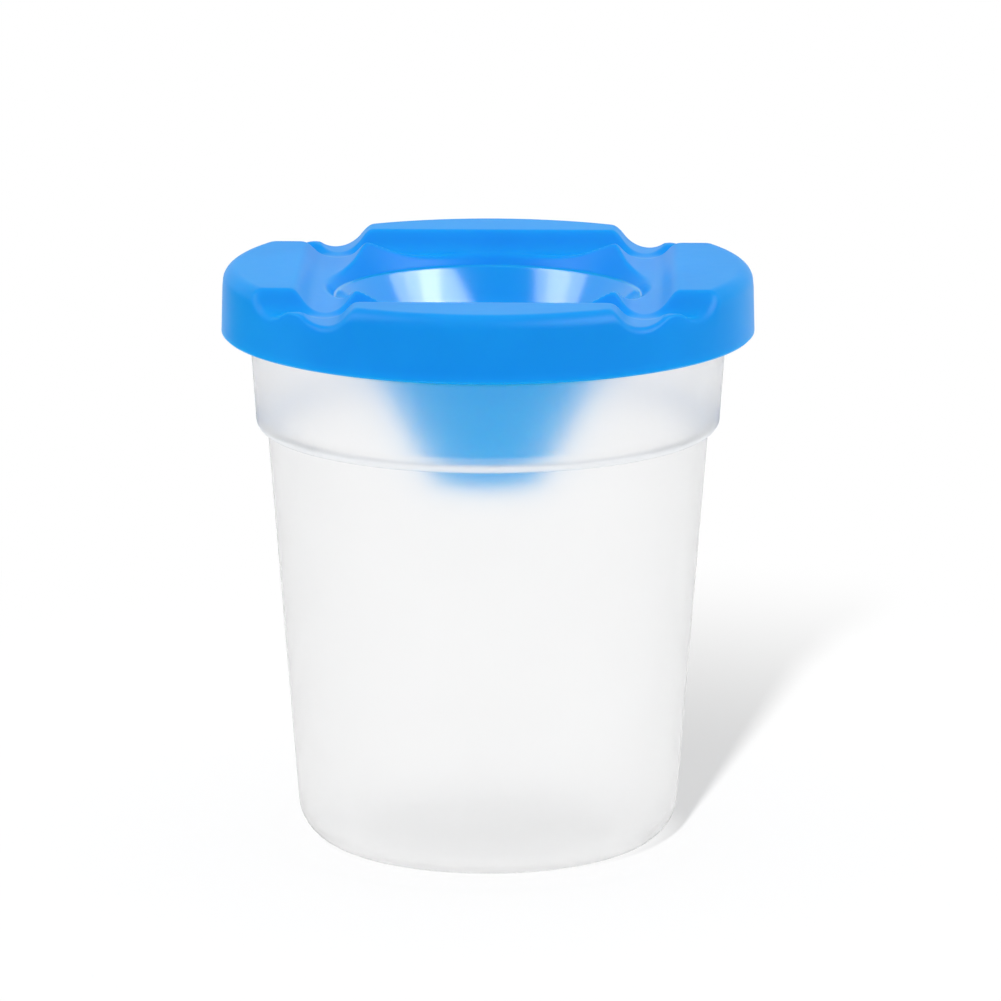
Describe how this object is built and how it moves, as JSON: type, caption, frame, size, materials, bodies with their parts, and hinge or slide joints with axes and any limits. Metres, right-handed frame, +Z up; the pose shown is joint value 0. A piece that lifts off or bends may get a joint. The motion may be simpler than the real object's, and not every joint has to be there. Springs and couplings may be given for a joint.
{
  "type": "brush washer with lid",
  "caption": "Translucent tapered cup with a push-on blue lid; rests cross the lid's top to hold brushes flat, and a drip funnel in its middle hangs down into the cup.",
  "frame": {"origin": "middle of the cup's foot, on the surface that it stands on", "axes": "+Z up along the axis of the cup and lid; X and Y along the lid's brush rests; -Y is the front"},
  "size_m": [0.086, 0.086, 0.0947],
  "materials": {
    "cup_plastic": "translucent natural polypropylene, smooth and slightly milky",
    "lid_plastic": "glossy injection-moulded bright blue"
  },
  "bodies": {
    "cup": {"cup": "cup_plastic"},
    "lid": {"lid": "lid_plastic"}
  },
  "joints": [
    {"name": "lid_lift", "type": "slide", "parent": "cup", "child": "lid", "axis": [0, 0, 1], "range_m": [0, 0.04]}
  ]
}
